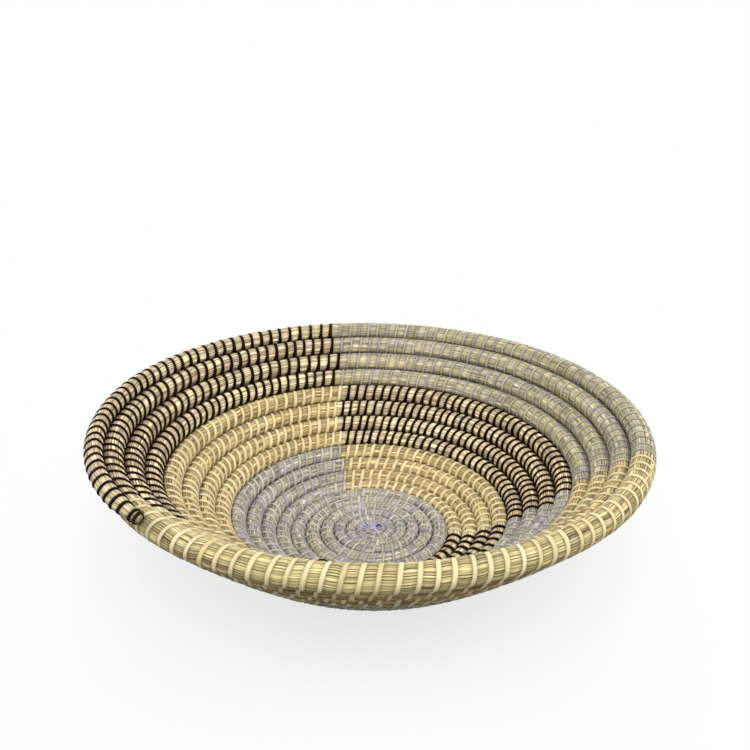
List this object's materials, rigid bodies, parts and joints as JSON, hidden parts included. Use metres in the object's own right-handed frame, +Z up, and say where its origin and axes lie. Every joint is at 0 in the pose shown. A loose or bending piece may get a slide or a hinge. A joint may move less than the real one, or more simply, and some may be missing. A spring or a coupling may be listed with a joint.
{
  "type": "coiled basket",
  "caption": "Shallow round wall basket: a grass bundle coiled from a flat base up a flaring wall and sewn with black, natural and lavender strips in stepped bands, for fruit or as wall decor.",
  "frame": {"origin": "on the floor, under the middle of the basket's outline", "axes": "+Z up out of the bowl, -Y towards the sector with the natural rim, +X to its right"},
  "size_m": [0.3592, 0.3554, 0.1055],
  "materials": {
    "grass": "dry grass stems, dull with a faint sheen",
    "black_strip": "satin flat strip",
    "natural_strip": "satin flat strip",
    "lavender_strip": "satin flat strip"
  },
  "bodies": {
    "root": {"foundation_coil": "grass", "centre_knot": "lavender_strip", "rim_tail_knot": "black_strip", "black_strip_outer_left_1": "black_strip", "lavender_strip_outer_right_1": "lavender_strip", "natural_strip_outer_front_1": "natural_strip", "black_strip_outer_left_2": "black_strip", "lavender_strip_outer_right_2": "lavender_strip", "natural_strip_outer_front_2": "natural_strip", "black_strip_outer_left_3": "black_strip", "lavender_strip_outer_right_3": "lavender_strip", "natural_strip_outer_front_3": "natural_strip", "black_strip_outer_left_4": "black_strip", "lavender_strip_outer_right_4": "lavender_strip", "natural_strip_outer_front_4": "natural_strip", "natural_strip_middle_left_1": "natural_strip", "black_strip_middle_right_1": "black_strip", "lavender_strip_middle_front_1": "lavender_strip", "natural_strip_middle_left_2": "natural_strip", "black_strip_middle_right_2": "black_strip", "lavender_strip_middle_front_2": "lavender_strip", "natural_strip_middle_left_3": "natural_strip", "black_strip_middle_right_3": "black_strip", "lavender_strip_middle_front_3": "lavender_strip", "natural_strip_middle_left_4": "natural_strip", "black_strip_middle_right_4": "black_strip", "lavender_strip_middle_front_4": "lavender_strip", "lavender_strip_inner_left_1": "lavender_strip", "natural_strip_inner_right_1": "natural_strip", "black_strip_inner_front_1": "black_strip", "lavender_strip_inner_left_2": "lavender_strip", "natural_strip_inner_right_2": "natural_strip", "black_strip_inner_front_2": "black_strip", "lavender_strip_inner_left_3": "lavender_strip", "natural_strip_inner_right_3": "natural_strip", "black_strip_inner_front_3": "black_strip", "lavender_strip_inner_left_4": "lavender_strip", "natural_strip_inner_right_4": "natural_strip", "black_strip_inner_front_4": "black_strip", "lavender_strip_centre_1": "lavender_strip", "lavender_strip_centre_2": "lavender_strip", "lavender_strip_centre_3": "lavender_strip", "lavender_strip_centre_4": "lavender_strip", "lavender_strip_centre_5": "lavender_strip", "lavender_strip_centre_6": "lavender_strip"}
  },
  "joints": []
}
